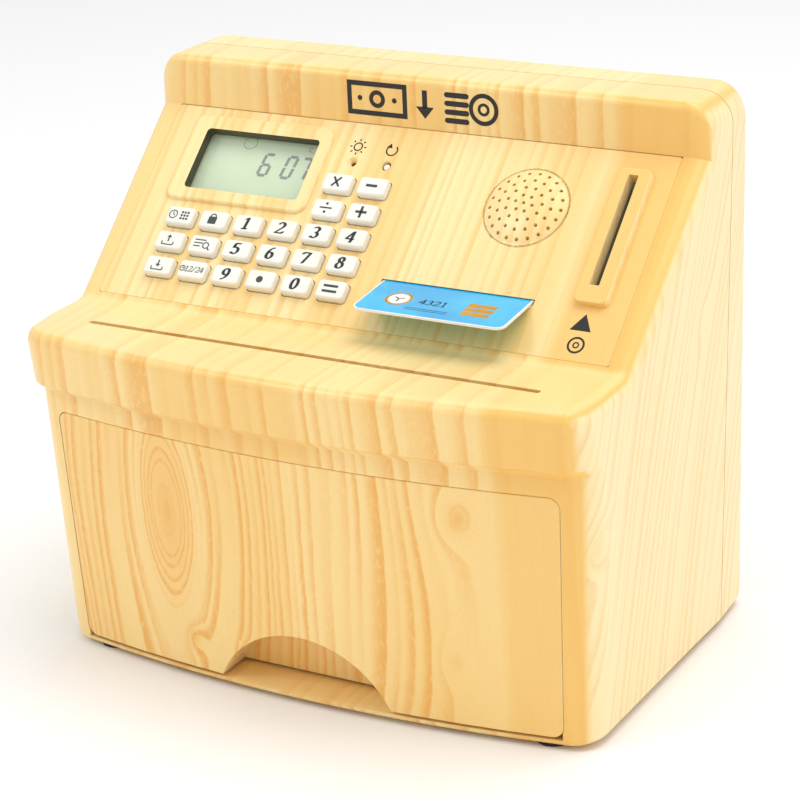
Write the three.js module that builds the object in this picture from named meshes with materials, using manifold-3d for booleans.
// Toy ATM savings bank: a moulded wood-print cabinet with a sloped keypad panel, a note slot in
// the ledge below it, a coin slot, a card slot and a sliding money drawer.
// Frame: millimetres, +Z up, the front faces -Y, X is symmetric, and z = 0 is the table.
import * as THREE from 'three';
import { mergeVertices } from 'three/addons/utils/BufferGeometryUtils.js';
import Module from 'manifold-3d';

const wasm = await Module();
wasm.setup();

// ---------------------------------------------------------------- driving dimensions
const HEIGHT = 189.1;                 // table to the top of the hood
const BASE_Z = 1.5;                   // underside of the cabinet, on its feet
const FRONT_Y = -60.65;               // cabinet front at its base, on the centre line
const FRONT_LEAN = 0.0458;            // the front leans forward by this much per mm of height
const BACK_Y = 71.9;                  // back wall at its base
const BACK_LEAN = 0.037;              // the back wall leans forward too
const SEAM_Y = 49.4;                  // joint between the front housing and the rear cover
const HALF_WIDTH = 101;               // half the width at the table
const SIDE_FLARE = 0.0215;            // the sides flare out by this much per mm of height
const REAR_TAPER = 0.07;              // the rear cover narrows towards the back
const BOW = 8.4 / 92.7 ** 2;          // the front is bowed: it falls back by BOW * x^2
const WALL = 2.6;
const GAP = 0.35;                     // clearance between neighbouring pieces

const LIP = { under: 95, bottom: 98.6, top: 118.2, bottomY: -70, topY: -72.25 };
const SLOPE_FOOT_Y = -27;             // where the panel slope would meet the ledge
const SLOPE = 41.78 * Math.PI / 180;  // panel slope above the horizontal
const HOOD_Y = 32.35;                 // front of the hood
const SLOT_Y = -47.6;                 // note slot
const SLOT_HALF = 82.9;
const SLOT_WIDE = 2.4;

const PANEL = { half: 94.6, length: 76.3, thick: 2.2, y: -24.6, z: 120.34 };
const PANEL_SEAT = 4.8;               // depth of the slope wall that carries the panel
const KEY = { halfX: 5.2, halfY: 3.4, top: 3, pitchX: 13.46, pitchY: 9.9, x0: -74.7, t0: 11.3 };
const LCD = { x0: -79.1, x1: -34, t0: 43, t1: 67 };
const LCD_FRAME = { x0: -86, x1: -30, t0: 38.5, t1: 72.7, high: 1.5 };
const GRILLE = { x: 48.5, t: 51.5, radius: 14.5, high: 3 };
const COIN_BAR = { x0: 76.3, x1: 88, t0: 19.4, t1: 69, high: 2.5 };
const COIN_SLOT = { x0: 80.3, x1: 83.7, t0: 25.7, t1: 66.5 };
const LED = { x: -20, t: 60.9 };
const RESET = { x: -7, t: 60.9 };
const CARD = { x: 35.45, width: 54, length: 85.6, thick: 0.8, t: 17.7, out: 21, tilt: 5.74 * Math.PI / 180 };

const DRAWER = { top: 88, bottom: 4.84, halfTop: 92.7, halfBottom: 90.6, radius: 3.5 };
const TRAY = { half: 87, y0: -70, y1: 36, z0: 5.2, z1: 80, wall: 2 };
const NOTCH = { radius: 35.1, z: -9.8, x: 0.5, backY: -46.3 };
const SILL = { top: 3.8, backY: -40 };

const ROLLER = { y: -42.15, z: 100, radius: 5.3 };
const PINCH = { y: -52.1, z: 100, radius: 4 };
const END_PLATE_X = 84;
const MODULE_MM = 0.8;                // tooth module of the note feeder's gears
const ROLLER_TEETH = 24;
const PINION_TEETH = 10;

const BATTERY = { x: -45, z: 138, halfX: 30, halfZ: 25.5, cellR: 7, cellLong: 49.5, pitch: 15.8 };
const CHUTE = { x: 82, halfX: 3.4, y0: -7, y1: 28, z0: 84, wall: 1.3 };

// ---------------------------------------------------------------- colours
const paint = (color, roughness, metalness = 0) => () =>
  new THREE.MeshStandardMaterial({ color, roughness, metalness });
const woodPrint = paint(0xf2d597, 0.35);
const plainPlastic = paint(0xe9dcc0, 0.45);
const whiteKey = paint(0xf7f5f0, 0.25);
const darkPlastic = paint(0x2e2d2b, 0.5);
const rubber = paint(0x1d1d1d, 0.8);
const boardGreen = paint(0x1f6b3c, 0.4);
const steel = paint(0xb9bcc0, 0.3, 1);
const gearWhite = paint(0xe6e6e2, 0.5);

// ---------------------------------------------------------------- solids
function solid(geometry) {
  const bare = geometry.clone();
  for (const name of ['normal', 'uv']) bare.deleteAttribute(name);
  bare.clearGroups();
  const merged = mergeVertices(bare, 1e-4);
  return new wasm.Manifold(new wasm.Mesh({
    numProp: 3,
    vertProperties: merged.attributes.position.array,
    triVerts: new Uint32Array(merged.index.array),
  }));
}

function geometryOf(body) {
  const { vertProperties, triVerts } = body.getMesh();
  const geometry = new THREE.BufferGeometry();
  geometry.setAttribute('position', new THREE.BufferAttribute(new Float32Array(vertProperties), 3));
  geometry.setIndex(new THREE.BufferAttribute(new Uint32Array(triVerts), 1));
  const faceted = geometry.toNonIndexed();
  faceted.computeVertexNormals();
  return faceted;
}

function add(parent, name, body, material) {
  const mesh = new THREE.Mesh(geometryOf(body), material());
  mesh.name = name;
  parent.add(mesh);
  return mesh;
}

const join = (...bodies) => bodies.reduce((sum, body) => sum.add(body));
const cut = (body, ...tools) => tools.reduce((rest, tool) => rest.subtract(tool), body);

function box(x0, x1, y0, y1, z0, z1) {
  const geometry = new THREE.BoxGeometry(x1 - x0, y1 - y0, z1 - z0);
  return solid(geometry.translate((x0 + x1) / 2, (y0 + y1) / 2, (z0 + z1) / 2));
}

// A cylinder between two heights along one axis; narrow makes it a cone.
function rod(axis, radius, from, to, [a, b], sides = 16, narrow = radius) {
  const geometry = new THREE.CylinderGeometry(narrow, radius, to - from, sides);
  geometry.translate(0, (from + to) / 2, 0);
  if (axis === 'x') geometry.rotateZ(-Math.PI / 2).translate(0, a, b);
  if (axis === 'y') geometry.translate(a, 0, b);
  if (axis === 'z') geometry.rotateX(Math.PI / 2).translate(a, b, 0);
  return solid(geometry);
}

// A flat outline pushed along one axis, from low to high.
function slab(points, axis, low, high) {
  const shape = new THREE.Shape(points.map(([a, b]) => new THREE.Vector2(a, b)));
  const geometry = new THREE.ExtrudeGeometry(shape, { depth: high - low, bevelEnabled: false });
  geometry.translate(0, 0, low);
  if (axis === 'y') geometry.rotateX(Math.PI / 2).scale(1, -1, 1);
  if (axis === 'x') geometry.rotateX(Math.PI / 2).rotateZ(Math.PI / 2);
  return solid(axis === 'y' ? flipped(geometry) : geometry);
}

function flipped(geometry) {
  const whole = geometry.index ? geometry.toNonIndexed() : geometry;
  const p = whole.attributes.position.array;
  for (let i = 0; i < p.length; i += 9) {
    for (let k = 0; k < 3; k += 1) [p[i + 3 + k], p[i + 6 + k]] = [p[i + 6 + k], p[i + 3 + k]];
  }
  return whole;
}

// Rounds the corners of an outline. Each corner is [a, b, radius, extra].
function rounded(corners, steps = 3) {
  const points = [];
  corners.forEach(([a, b, radius, extra], i) => {
    const before = corners[(i + corners.length - 1) % corners.length];
    const after = corners[(i + 1) % corners.length];
    const here = new THREE.Vector2(a, b);
    const back = new THREE.Vector2(before[0], before[1]).sub(here).normalize();
    const ahead = new THREE.Vector2(after[0], after[1]).sub(here).normalize();
    const turn = Math.acos(THREE.MathUtils.clamp(back.dot(ahead), -1, 1));
    if (!radius || turn > Math.PI - 0.01) {
      points.push([a, b, extra]);
      return;
    }
    const reach = radius / Math.tan(turn / 2);
    const centre = back.clone().add(ahead).normalize().multiplyScalar(radius / Math.sin(turn / 2)).add(here);
    const from = back.clone().multiplyScalar(reach).add(here).sub(centre);
    const sweep = (Math.PI - turn) * Math.sign(-back.cross(ahead));
    for (let k = 0; k <= steps; k += 1) {
      const p = from.clone().rotateAround(new THREE.Vector2(), sweep * k / steps).add(centre);
      points.push([p.x, p.y, extra]);
    }
  });
  return points;
}

const rectangle = (x0, x1, y0, y1, radius, steps = 3) =>
  rounded([[x0, y0, radius], [x1, y0, radius], [x1, y1, radius], [x0, y1, radius]], steps);

// A stack of rounded rectangles, one per level [halfX, halfY, z], closed at both ends.
function stack(levels, [x, y], radius, steps = 1) {
  const rings = levels.map(([halfX, halfY, z]) =>
    rectangle(x - halfX, x + halfX, y - halfY, y + halfY, radius, steps).map(([a, b]) => [a, b, z]));
  return skin(rings);
}

// Skins a closed row of rings that all have the same number of points.
function skin(rings, capPoints = (ring) => ring.map(([a, b]) => new THREE.Vector2(a, b))) {
  const count = rings[0].length;
  const index = [];
  for (let r = 0; r + 1 < rings.length; r += 1) {
    for (let i = 0; i < count; i += 1) {
      const a = r * count + i;
      const b = r * count + (i + 1) % count;
      index.push(a, b, b + count, a, b + count, a + count);
    }
  }
  const last = (rings.length - 1) * count;
  for (const [a, b, c] of THREE.ShapeUtils.triangulateShape(capPoints(rings[0]), [])) index.push(c, b, a);
  for (const [a, b, c] of THREE.ShapeUtils.triangulateShape(capPoints(rings.at(-1)), [])) {
    index.push(last + a, last + b, last + c);
  }
  const geometry = new THREE.BufferGeometry();
  geometry.setAttribute('position', new THREE.Float32BufferAttribute(rings.flat(2), 3));
  geometry.setIndex(index);
  return solid(geometry);
}

// The cabinet's rounded form: a side outline swept across the width. Each outline point carries
// how it draws in at the two ends: shift [dy, dz] over a rounding of radius reach, and whether it
// follows the bowed front.
function cabinetForm(outline, halfWidthAt, flatSteps, roundSteps) {
  const stations = [];
  for (let k = -flatSteps; k <= flatSteps; k += 1) stations.push({ flat: k / flatSteps, turn: 0 });
  for (let k = 1; k <= roundSteps; k += 1) {
    const turn = (Math.PI / 2) * k / roundSteps;
    stations.push({ flat: 1, turn });
    stations.unshift({ flat: -1, turn });
  }
  const rings = stations.map(({ flat, turn }) => outline.map(([y, z, { shift, reach, bowed }]) => {
    const inward = 1 - Math.cos(turn);
    const zz = z + shift[1] * inward;
    const edge = halfWidthAt(y + shift[0] * inward, zz);
    const x = flat * (edge - reach * (1 - Math.sin(turn)));
    return [x, y + shift[0] * inward + (bowed ? BOW * x * x : 0), zz];
  }));
  return skin(rings, (ring) => ring.map(([, y, z]) => new THREE.Vector2(y, z)));
}

// ---------------------------------------------------------------- cabinet surfaces
const frontY = (z) => FRONT_Y - FRONT_LEAN * (z - BASE_Z);
const backY = (z) => BACK_Y - BACK_LEAN * (z - BASE_Z);
const sideX = (y, z) => HALF_WIDTH + SIDE_FLARE * z;
const rearX = (y, z) => sideX(y, z) - REAR_TAPER * (y - SEAM_Y);
const slopeZ = (y) => LIP.top + Math.tan(SLOPE) * (y - SLOPE_FOOT_Y);
const EDGE = 5.5;                     // rounding where the slope meets the sides
const EDGE_SHIFT = [EDGE * Math.sin(SLOPE), -EDGE * Math.cos(SLOPE)];

function frontForm() {
  const outline = rounded([
    [SEAM_Y, BASE_Z, 0, { shift: [0, 2.5], reach: 2.5 }],
    [SEAM_Y, HEIGHT, 0, { shift: [0, -11], reach: 11 }],
    [HOOD_Y, HEIGHT, 3.5, { shift: [5, -11], reach: 11 }],
    [HOOD_Y, slopeZ(HOOD_Y), 0, { shift: [5, -2.9], reach: EDGE }],
    [SLOPE_FOOT_Y, LIP.top, 8, { shift: EDGE_SHIFT, reach: EDGE }],
    [-45, LIP.top, 0, { shift: [0, -5], reach: EDGE }],
    [LIP.topY, LIP.top, 4, { shift: [10, -5], reach: 10, bowed: true }],
    [LIP.bottomY, LIP.bottom, 0.8, { shift: [10, 0], reach: 10, bowed: true }],
    [frontY(LIP.under), LIP.under, 0, { shift: [9, 0], reach: 9, bowed: true }],
    [frontY(BASE_Z), BASE_Z, 2.5, { shift: [9, 2.5], reach: 9, bowed: true }],
  ]);
  return cabinetForm(outline, sideX, 6, 4);
}

function frontCavity() {
  const plain = { shift: [0, -2], reach: 2 };
  const crown = { shift: [2, -9], reach: 9 };
  const lower = { shift: [0, 2], reach: 2 };
  const bowed = { shift: [3, 0], reach: 3, bowed: true };
  const seatZ = (y) => slopeZ(y) - PANEL_SEAT / Math.cos(SLOPE);
  const ceiling = LIP.top - WALL;
  const seatFootY = SLOPE_FOOT_Y + (ceiling - seatZ(SLOPE_FOOT_Y)) / Math.tan(SLOPE);
  const outline = rounded([
    [SEAM_Y + 2, -2, 0, lower],
    [SEAM_Y + 2, HEIGHT - WALL, 0, { ...crown, shift: [0, -9] }],
    [HOOD_Y + WALL, HEIGHT - WALL, 0, crown],
    [HOOD_Y + WALL, seatZ(HOOD_Y + WALL), 0, plain],
    [seatFootY, ceiling, 0, plain],
    [LIP.topY + WALL + 0.2, ceiling, 0, { shift: [3, -2], reach: 3, bowed: true }],
    [LIP.bottomY + WALL, LIP.bottom + WALL, 0, bowed],
    [frontY(LIP.under) + WALL, LIP.under + 2, 0, bowed],
    [frontY(SILL.top) + WALL, SILL.top, 0, { shift: [3, 2], reach: 3, bowed: true }],
    [SILL.backY, SILL.top, 0, lower],
    [SILL.backY, -2, 0, lower],
  ]);
  return cabinetForm(outline, (y, z) => sideX(y, z) - WALL, 6, 2);
}

// The upright outline that closes the drawer bay, grown by a clearance.
function drawerOutline(grow) {
  const { top, bottom, halfTop, halfBottom, radius } = DRAWER;
  return rounded([
    [-halfBottom - grow, bottom - grow, radius],
    [halfBottom + grow, bottom - grow, radius],
    [halfTop + grow, top + grow, radius],
    [-halfTop - grow, top + grow, radius],
  ]);
}

function notchOutline(grow, floor) {
  const radius = NOTCH.radius + grow;
  const half = Math.acos((floor - NOTCH.z) / radius);
  const points = [];
  for (let k = 0; k <= 12; k += 1) {
    const angle = half - 2 * half * k / 12;
    points.push([NOTCH.x - radius * Math.sin(angle), NOTCH.z + radius * Math.cos(angle)]);
  }
  return points.reverse();
}

// ---------------------------------------------------------------- the bank and its two frames
const bank = new THREE.Group();
const slope = new THREE.Group();      // x across, y up the slope, z out of the panel's face
slope.position.set(0, PANEL.y, PANEL.z);
slope.rotation.x = SLOPE;
bank.add(slope);
slope.updateMatrixWorld(true);

function onSlope(body) {
  return solid(geometryOf(body).applyMatrix4(slope.matrixWorld));
}

// ---------------------------------------------------------------- front housing
const outer = frontForm();

function frontHousing() {
  const { half, length } = PANEL;
  const seat = box(-half - GAP, half + GAP, -GAP, length + GAP / 2, -PANEL.thick - GAP, 4);
  const window = box(-half + 3, half - 3, 3.5, length - 4, -20, 0);
  const slot = box(-SLOT_HALF, SLOT_HALF, SLOT_Y - SLOT_WIDE / 2, SLOT_Y + SLOT_WIDE / 2, 110, 125);
  const bay = slab(drawerOutline(GAP), 'y', -80, -50);
  const sillCut = box(-DRAWER.halfBottom, DRAWER.halfBottom, -80, -50, SILL.top, 12);
  return cut(outer, frontCavity(), onSlope(seat), onSlope(window), slot, bay, sillCut);
}
add(bank, 'front_housing', frontHousing(), woodPrint);

// ---------------------------------------------------------------- rear cover and battery door
const rear = new THREE.Group();       // y out of the back wall, centred on the battery bay
rear.position.set(BATTERY.x, backY(BATTERY.z), BATTERY.z);
rear.rotation.x = Math.atan(BACK_LEAN);
bank.add(rear);
rear.updateMatrixWorld(true);

function rearCover() {
  const y0 = SEAM_Y + GAP;
  const form = cabinetForm(rounded([
    [y0, BASE_Z, 0, { shift: [0, 2.5], reach: 2.5 }],
    [BACK_Y, BASE_Z, 2.5, { shift: [-3, 2.5], reach: 3 }],
    [backY(HEIGHT), HEIGHT, 3, { shift: [-3, -11], reach: 11 }],
    [y0, HEIGHT, 0, { shift: [0, -11], reach: 11 }],
  ]), rearX, 1, 4);
  const inner = cabinetForm([
    [y0 - 2, BASE_Z + WALL, { shift: [0, 2], reach: 2 }],
    [BACK_Y - WALL, BASE_Z + WALL, { shift: [0, 2], reach: 2 }],
    [backY(HEIGHT) - WALL, HEIGHT - WALL, { shift: [0, -9], reach: 9 }],
    [y0 - 2, HEIGHT - WALL, { shift: [0, -9], reach: 9 }],
  ], (y, z) => rearX(y, z) - WALL, 1, 3);
  const doorway = solid(geometryOf(slab(
    rectangle(-BATTERY.halfX, BATTERY.halfX, -BATTERY.halfZ, BATTERY.halfZ, 2), 'y', -6, 4,
  )).applyMatrix4(rear.matrixWorld));
  const recesses = SCREWS.map(([x, z]) => rod('y', 3.6, backY(z) - 1.4, backY(z) + 3, [x, z], 12));
  const thumb = solid(geometryOf(rod('y', 6, -1.2, 3, [0, BATTERY.halfZ + 3], 12))
    .applyMatrix4(rear.matrixWorld));
  return cut(form, inner, doorway, thumb, ...recesses);
}
const SCREWS = [[-88, 16], [88, 16], [-88, 172], [88, 172], [0, 16], [30, 172]];
add(bank, 'rear_cover', rearCover(), woodPrint);

function batteryDoor() {
  const edge = 2 * GAP;
  const { halfX, halfZ } = BATTERY;
  const plate = slab(rectangle(-halfX + edge, halfX - edge, -halfZ + edge, halfZ - edge, 1.6), 'y', -2.2, 0);
  const ribs = [0, 1, 2, 3].map((k) => {
    const z = halfZ - 5.6 - 2.2 * k;
    return box(-9 + k, 9 - k, -0.6, 0.5, z, z + 1);
  });
  return join(plate, ...ribs);
}
add(rear, 'battery_door', batteryDoor(), woodPrint);

function batteryBox() {
  const { halfX, halfZ } = BATTERY;
  const shell = box(-halfX + 1, halfX - 1, -20.4, -2.9, -halfZ + 0.6, halfZ - 0.6);
  const room = box(-halfX + 2.4, halfX - 2.4, -19, 0, -halfZ + 1.8, halfZ - 1.8);
  const ribs = [-0.5, 0.5].map((k) =>
    box(-halfX + 2, halfX - 2, -20, -14.5, k * BATTERY.pitch - 0.5, k * BATTERY.pitch + 0.5));
  return join(cut(shell, room), ...ribs);
}
add(rear, 'battery_box', batteryBox(), darkPlastic);

for (let k = 0; k < 3; k += 1) {
  const z = (k - 1) * BATTERY.pitch;
  const way = k % 2 ? -1 : 1;
  const can = rod('x', BATTERY.cellR, -BATTERY.cellLong / 2, BATTERY.cellLong / 2 - 0.5, [-11.3, z], 20);
  const tip = rod('x', 2.7, BATTERY.cellLong / 2 - 1, BATTERY.cellLong / 2 + 1, [-11.3, z], 12);
  const cell = add(rear, `battery_cell_${k + 1}`, join(can, tip), paint(0x3c6fae, 0.35));
  if (way < 0) {
    cell.rotation.y = Math.PI;
    cell.position.z = 2 * z;
  }
}

// ---------------------------------------------------------------- base plate and feet
function basePlate() {
  const half = sideX(0, BASE_Z) - WALL - GAP;
  const plate = box(-half, half, SILL.backY + GAP, SEAM_Y - GAP, BASE_Z, 3.7);
  const guides = [-1, 1].map((s) => {
    const [x0, x1] = [s * (TRAY.half + 1.2), s * (TRAY.half + 3)].sort((a, b) => a - b);
    return box(x0, x1, SILL.backY + 2, TRAY.y1, 3, 14);
  });
  const post = box(-9, 9, 45.2, 48, 3, 20);
  return join(plate, ...guides, post);
}
add(bank, 'base_plate', basePlate(), plainPlastic);

const FEET = { front_left: [-84, -46], front_right: [84, -46], rear_left: [-84, 59], rear_right: [84, 59] };
for (const [place, [x, y]] of Object.entries(FEET)) {
  add(bank, `foot_${place}`, rod('z', 5.5, 0, BASE_Z - 0.3, [x, y], 20), rubber);
}

// ---------------------------------------------------------------- control panel
const keyColumns = [0, 1, 2, 3, 4, 5].map((c) => KEY.x0 + KEY.pitchX * c);
const keyRows = [0, 1, 2].map((r) => KEY.t0 + KEY.pitchY * r);
const operatorRows = [40.8, 51.1];
const KEYS = [
  ...['deposit', 'clock', '9', 'point', '0', 'equals'].map((n, c) => [n, keyColumns[c], keyRows[0]]),
  ...['withdraw', 'balance', '5', '6', '7', '8'].map((n, c) => [n, keyColumns[c], keyRows[1]]),
  ...['menu', 'code', '1', '2', '3', '4'].map((n, c) => [n, keyColumns[c], keyRows[2]]),
  ['divide', keyColumns[4], operatorRows[0]], ['plus', keyColumns[5], operatorRows[0]],
  ['times', keyColumns[4], operatorRows[1]], ['minus', keyColumns[5], operatorRows[1]],
];

function grilleHoles() {
  const rings = [[0, 1], [4, 6], [8, 12], [12, 18]];
  return rings.flatMap(([radius, count]) => Array.from({ length: count }, (_, k) => {
    const angle = 2 * Math.PI * k / count;
    const place = [GRILLE.x + radius * Math.cos(angle), GRILLE.t + radius * Math.sin(angle)];
    return rod('z', 0.75, -4, 6, place, 6);
  }));
}

function grilleDome() {
  const { radius, high, x, t } = GRILLE;
  const ball = (radius ** 2 + high ** 2) / (2 * high);
  const levels = [[radius, -1], [radius, 0.4]];
  for (let k = 1; k <= 4; k += 1) {
    const z = 0.4 + (high - 0.4) * Math.sin(Math.PI / 2 * k / 4);
    levels.push([Math.sqrt(Math.max(ball ** 2 - (z + ball - high) ** 2, 0)), z]);
  }
  const profile = [new THREE.Vector2(0, -1), ...levels.map(([r, z]) => new THREE.Vector2(r, z))];
  profile.at(-1).x = 0;
  return solid(new THREE.LatheGeometry(profile, 32).rotateX(Math.PI / 2).translate(x, t, 0));
}

// A pad that rises from the panel's face, its top edge drawn in.
function raisedPad({ x0, x1, t0, t1, high }, drawn, radius, steps) {
  const [halfX, halfT] = [(x1 - x0) / 2, (t1 - t0) / 2];
  const levels = [[halfX, halfT, -1], [halfX, halfT, high - drawn], [halfX - drawn, halfT - drawn, high]];
  return stack(levels, [x0 + halfX, t0 + halfT], radius, steps);
}

function controlPanel() {
  const plate = slab(rectangle(-PANEL.half, PANEL.half, 0, PANEL.length - GAP, 0.8, 1), 'z', -PANEL.thick, 0);
  const frame = raisedPad(LCD_FRAME, 0.7, 4, 3);
  const bar = raisedPad(COIN_BAR, 0.85, 2.2, 2);
  const lcdHole = slab(rectangle(LCD.x0, LCD.x1, LCD.t0, LCD.t1, 1.5, 2), 'z', -4, 4);
  const coinHole = box(COIN_SLOT.x0, COIN_SLOT.x1, COIN_SLOT.t0, COIN_SLOT.t1, -4, 5);
  const keyHoles = KEYS.map(([, x, t]) => box(
    x - KEY.halfX - GAP, x + KEY.halfX + GAP, t - KEY.halfY - GAP, t + KEY.halfY + GAP, -4, 3));
  const ledHole = rod('z', 0.9, -4, 1, [LED.x, LED.t], 12, 2);
  const resetHole = rod('z', 1.7, -4, 1, [RESET.x, RESET.t], 12);
  const cardHole = solid(geometryOf(box(
    CARD.x - CARD.width / 2 - 0.7, CARD.x + CARD.width / 2 + 0.7, -8, 12, -0.8, 0.8,
  )).applyMatrix4(cardFrame.matrix));
  return cut(join(plate, frame, bar, grilleDome()),
    lcdHole, coinHole, ...keyHoles, ledHole, resetHole, cardHole, ...grilleHoles());
}

const cardFrame = new THREE.Group();  // y along the card's way in, z out of the card's face
cardFrame.position.set(0, CARD.t, 0);
cardFrame.rotation.x = CARD.tilt - SLOPE;
slope.add(cardFrame);
cardFrame.updateMatrix();
add(slope, 'control_panel', controlPanel(), woodPrint);

for (const [name, x, t] of KEYS) {
  const { halfX, halfY, top } = KEY;
  const levels = [
    [halfX + 0.55, halfY + 0.9, -3.3], [halfX + 0.55, halfY + 0.9, -2.6],
    [halfX, halfY, -2.6], [halfX - 0.15, halfY - 0.15, top - 0.6], [halfX - 0.8, halfY - 0.8, top],
  ];
  add(slope, `key_${name}`, stack(levels, [x, t], 0.9), whiteKey);
}

const pinProfile = [[0, -4.4], [2.2, -4.4], [2.2, -3.6], [1.2, -3.6], [1.2, -0.9], [0, -0.6]];
add(slope, 'reset_button', solid(new THREE.LatheGeometry(
  pinProfile.map(([r, z]) => new THREE.Vector2(r, z)), 16,
).rotateX(Math.PI / 2).translate(RESET.x, RESET.t, 0)), whiteKey);

const ledProfile = [[0, -6], [1.9, -6], [1.9, -5.2], [1.5, -5.2], [1.5, -3.6], [1.1, -2.9], [0, -2.6]];
add(slope, 'indicator_led', solid(new THREE.LatheGeometry(
  ledProfile.map(([r, z]) => new THREE.Vector2(r, z)), 16,
).rotateX(Math.PI / 2).translate(LED.x, LED.t, 0)), paint(0xd9442f, 0.2));

// ---------------------------------------------------------------- behind the panel
const lcdX = (LCD.x0 + LCD.x1) / 2;
const lcdT = (LCD.t0 + LCD.t1) / 2;
add(slope, 'lcd_window', box(lcdX - 25.5, lcdX + 25.5, lcdT - 14.5, lcdT + 14.5, -3.7, -2.5),
  paint(0xdfe8df, 0.1));
add(slope, 'lcd_module', box(lcdX - 26, lcdX + 26, lcdT - 15, lcdT + 15, -7.4, -4), paint(0xb8cfae, 0.3));

const boardEdge = (x0, x1, t0, tStep, tTop, xStep) =>
  [[x0, t0], [x1, t0], [x1, tTop], [xStep, tTop], [xStep, tStep], [x0, tStep]];
add(slope, 'key_mat', slab(boardEdge(-82, 2.5, 4.5, 36.8, 57, -27), 'z', -5.8, -4.8), paint(0xd8d4cb, 0.7));
add(slope, 'key_board', slab(boardEdge(-82.5, 3, 4, 37.3, 66, -28), 'z', -7.9, -6.3), boardGreen);

function speaker() {
  const profile = [[0, -14], [10, -14], [10, -9], [11.5, -8], [17.5, -5.2], [17.5, -3.4],
    [16, -3.4], [14.8, -3.4], [7, -6.2], [3.4, -6.2], [0, -5]];
  return solid(new THREE.LatheGeometry(profile.map(([r, z]) => new THREE.Vector2(r, z)), 28)
    .rotateX(Math.PI / 2).translate(GRILLE.x, GRILLE.t, 0));
}
add(slope, 'speaker', speaker(), darkPlastic);

function cardGuide() {
  const half = CARD.width / 2 + 3;
  const channel = box(CARD.x - half, CARD.x + half, 8, 30, -2.6, 2.6);
  const way = box(CARD.x - CARD.width / 2 - 0.6, CARD.x + CARD.width / 2 + 0.6, 7, 31, -0.8, 0.8);
  return cut(channel, way);
}
add(cardFrame, 'card_guide', cardGuide(), darkPlastic);

const cardShape = rectangle(
  CARD.x - CARD.width / 2, CARD.x + CARD.width / 2, -CARD.out, CARD.length - CARD.out, 3.2, 3);
add(cardFrame, 'bank_card', slab(cardShape, 'z', -CARD.thick / 2, CARD.thick / 2), paint(0x27a0e0, 0.2));

// ---------------------------------------------------------------- coin chute and its lever
const LEVER = { y: 33.5, z: 108, hub: 2.4, tip: 17 };

function coinChute() {
  const { x, halfX, y0, y1, z0, wall } = CHUTE;
  const tube = box(x - halfX, x + halfX, y0, y1, z0, 190);
  const way = box(x - halfX + wall, x + halfX - wall, y0 + wall, y1 - wall, z0 - 1, 191);
  const underPanel = onSlope(box(-100, 100, -60, 120, -PANEL.thick - GAP, 90));
  const gate = box(x - 1.6, x + 1.6, y1 - 3, y1 + 3, LEVER.z - 9.5, LEVER.z + 2.6);
  const ears = [-1, 1].map((s) => {
    const [a, b] = [x + s * 1.4, x + s * 2.8].sort((m, n) => m - n);
    return box(a, b, y1 - wall, LEVER.y + 3, LEVER.z - 3, LEVER.z + 3);
  });
  const pinHole = rod('x', 1.3, x - 5, x + 5, [LEVER.y, LEVER.z], 12);
  return cut(join(cut(tube, way), ...ears), underPanel, gate, pinHole);
}
add(bank, 'coin_chute', coinChute(), plainPlastic);

function coinLever() {
  const { y, z, hub, tip } = LEVER;
  const x = CHUTE.x;
  const wheel = rod('x', hub, x - 1, x + 1, [y, z], 16);
  const pin = rod('x', 1, x - 3.2, x + 3.2, [y, z], 12);
  const arm = slab([[tip, z - 0.6], [y, z - 1.8], [y, z + 1.8], [tip, z + 0.9]], 'x', x - 0.8, x + 0.8);
  return join(wheel, pin, arm);
}
add(bank, 'coin_lever', coinLever(), gearWhite);

// ---------------------------------------------------------------- note feeder
const PINION_Y = ROLLER.y + MODULE_MM * (ROLLER_TEETH + PINION_TEETH) / 2 + 0.15;

function noteGuide() {
  const [x0, x1] = [END_PLATE_X, END_PLATE_X + 2];
  const ends = [-1, 1].map((s) => {
    const [a, b] = [s * x0, s * x1].sort((m, n) => m - n);
    return slab([[-54.2, 92], [PINION_Y + 9, 92], [PINION_Y + 9, 109], [-40, 114.8],
      [-57.5, 114.8], [-57.5, 99.5], [-54.2, 97]], 'x', a, b);
  });
  const throat = [SLOT_Y - 3.4, SLOT_Y + 1.6].map((y) => box(-x1, x1, y, y + 1.8, 106.5, 114.8));
  const bar = box(-x1, x1, -57.4, -55.4, 105, 108);
  const holes = [
    rod('x', 1.65, -90, 90, [ROLLER.y, ROLLER.z], 16),
    rod('x', 1.65, -90, 90, [PINCH.y, PINCH.z], 16),
    rod('x', 2.4, 80, 90, [PINION_Y, ROLLER.z], 16),
  ];
  return cut(join(...ends, ...throat, bar), ...holes);
}
add(bank, 'note_guide', noteGuide(), plainPlastic);

function rollerOn({ y, z, radius }, reach, sleeves) {
  const shaft = rod('x', 1.5, -87, reach, [y, z], 16);
  const tyres = sleeves.map((x) => rod('x', radius, x - 9, x + 9, [y, z], 24));
  return join(shaft, ...tyres);
}
const SLEEVES = [-54, -18, 18, 54];
add(bank, 'feed_roller', rollerOn(ROLLER, 87.2, SLEEVES), rubber);
add(bank, 'pinch_roller', rollerOn(PINCH, 87, SLEEVES), gearWhite);

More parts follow.
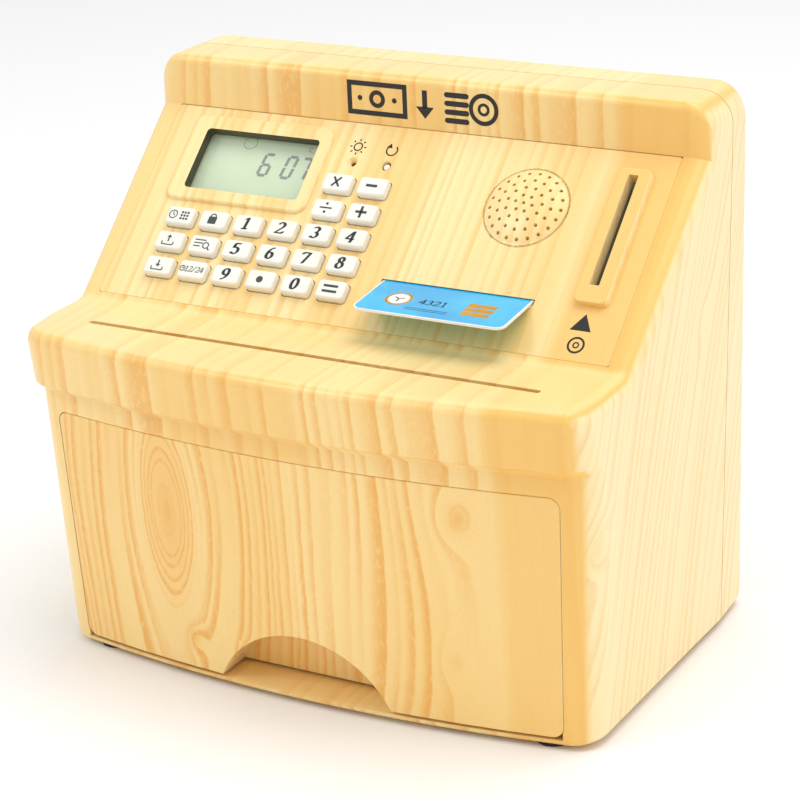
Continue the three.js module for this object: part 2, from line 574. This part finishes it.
// A spur gear with straight-sided teeth, bored for its shaft.
function gear(teeth, x0, x1, [y, z], bore, turned = 0) {
  const pitch = MODULE_MM * teeth / 2;
  const points = [];
  for (let k = 0; k < teeth; k += 1) {
    const marks = [[-0.32, -1.1], [-0.13, 0.85], [0.13, 0.85], [0.32, -1.1]];
    for (const [along, out] of marks) {
      const angle = 2 * Math.PI * (k + along + turned) / teeth;
      const radius = pitch + out * MODULE_MM;
      points.push([y + radius * Math.cos(angle), z + radius * Math.sin(angle)]);
    }
  }
  return cut(slab(points, 'x', x0, x1), rod('x', bore, x0 - 1, x1 + 1, [y, z], 16));
}
add(bank, 'roller_gear', gear(ROLLER_TEETH, 87.5, 91, [ROLLER.y, ROLLER.z], 1.2, 0.5), gearWhite);
add(bank, 'motor_pinion', gear(PINION_TEETH, 86.6, 91, [PINION_Y, ROLLER.z], 1.1), paint(0xc9a24a, 0.3, 1));

function feedMotor() {
  const can = rod('x', 8, 60, 83.6, [PINION_Y, ROLLER.z], 24);
  const boss = rod('x', 2.1, 83, 86.2, [PINION_Y, ROLLER.z], 12);
  const shaft = rod('x', 0.8, 80, 91, [PINION_Y, ROLLER.z], 12);
  return join(can, boss, shaft);
}
add(bank, 'feed_motor', feedMotor(), steel);

// ---------------------------------------------------------------- main board
function mainBoard() {
  const board = box(-92, -16, 42, 43.6, 110, 172);
  const chips = [[-80, 118, 12, 12], [-58, 120, 9, 20], [-40, 150, 14, 9], [-76, 152, 10, 14]];
  const blocks = chips.map(([x, z, w, h]) => box(x, x + w, 39.6, 42.5, z, z + h));
  return join(board, ...blocks);
}
add(bank, 'main_board', mainBoard(), boardGreen);

// ---------------------------------------------------------------- drawer
function drawerFront() {
  const pocketEnd = NOTCH.backY + TRAY.wall;
  const face = slab(drawerOutline(0), 'y', -80, pocketEnd);
  const pocket = slab(notchOutline(TRAY.wall, DRAWER.bottom - 1), 'y', -85, pocketEnd + 1);
  const notch = slab(notchOutline(0, DRAWER.bottom - 2), 'y', -86, NOTCH.backY);
  const hollow = cut(outer.translate([0, WALL, 0]), pocket);
  return cut(face.intersect(outer), hollow, notch);
}
add(bank, 'drawer_front', drawerFront(), woodPrint);

const LATCH = { y: 40.6, window: 2.6, pin: 1.7, raised: 10.6 };

function drawerTray() {
  const { half, y0, y1, z0, z1, wall } = TRAY;
  const front = WALL + GAP;
  const shell = box(-half, half, y0, y1, z0, z1).intersect(outer.translate([0, front, 0]));
  const room = box(-half + wall, half - wall, y0, y1 - wall, z0 + wall, z1 + 1)
    .intersect(outer.translate([0, front + wall, 0]));
  const pocket = slab(notchOutline(wall + GAP, z0 - 3), 'y', -80, NOTCH.backY + wall + GAP);
  const tab = box(-5.5, 5.5, y1 - 1, y1 + 9, 7.2, 10);
  const strike = box(-LATCH.window, LATCH.window, LATCH.y - LATCH.window, LATCH.y + LATCH.window, 5, 12);
  return join(cut(shell, room, pocket), cut(tab, strike));
}
add(bank, 'drawer_tray', drawerTray(), plainPlastic);

function drawerLatch() {
  const pin = rod('z', LATCH.pin, LATCH.raised, 34, [0, LATCH.y], 16);
  const collar = rod('z', 2.8, 17, 18.2, [0, LATCH.y], 16);
  return join(pin, collar);
}
add(bank, 'drawer_latch', drawerLatch(), steel);

function latchSolenoid() {
  const frame = box(-8, 8, 36.8, 44.8, 21, 40);
  return cut(frame, rod('z', LATCH.pin + 0.3, 18, 37, [0, LATCH.y], 16));
}
add(bank, 'latch_solenoid', latchSolenoid(), steel);

export default bank;
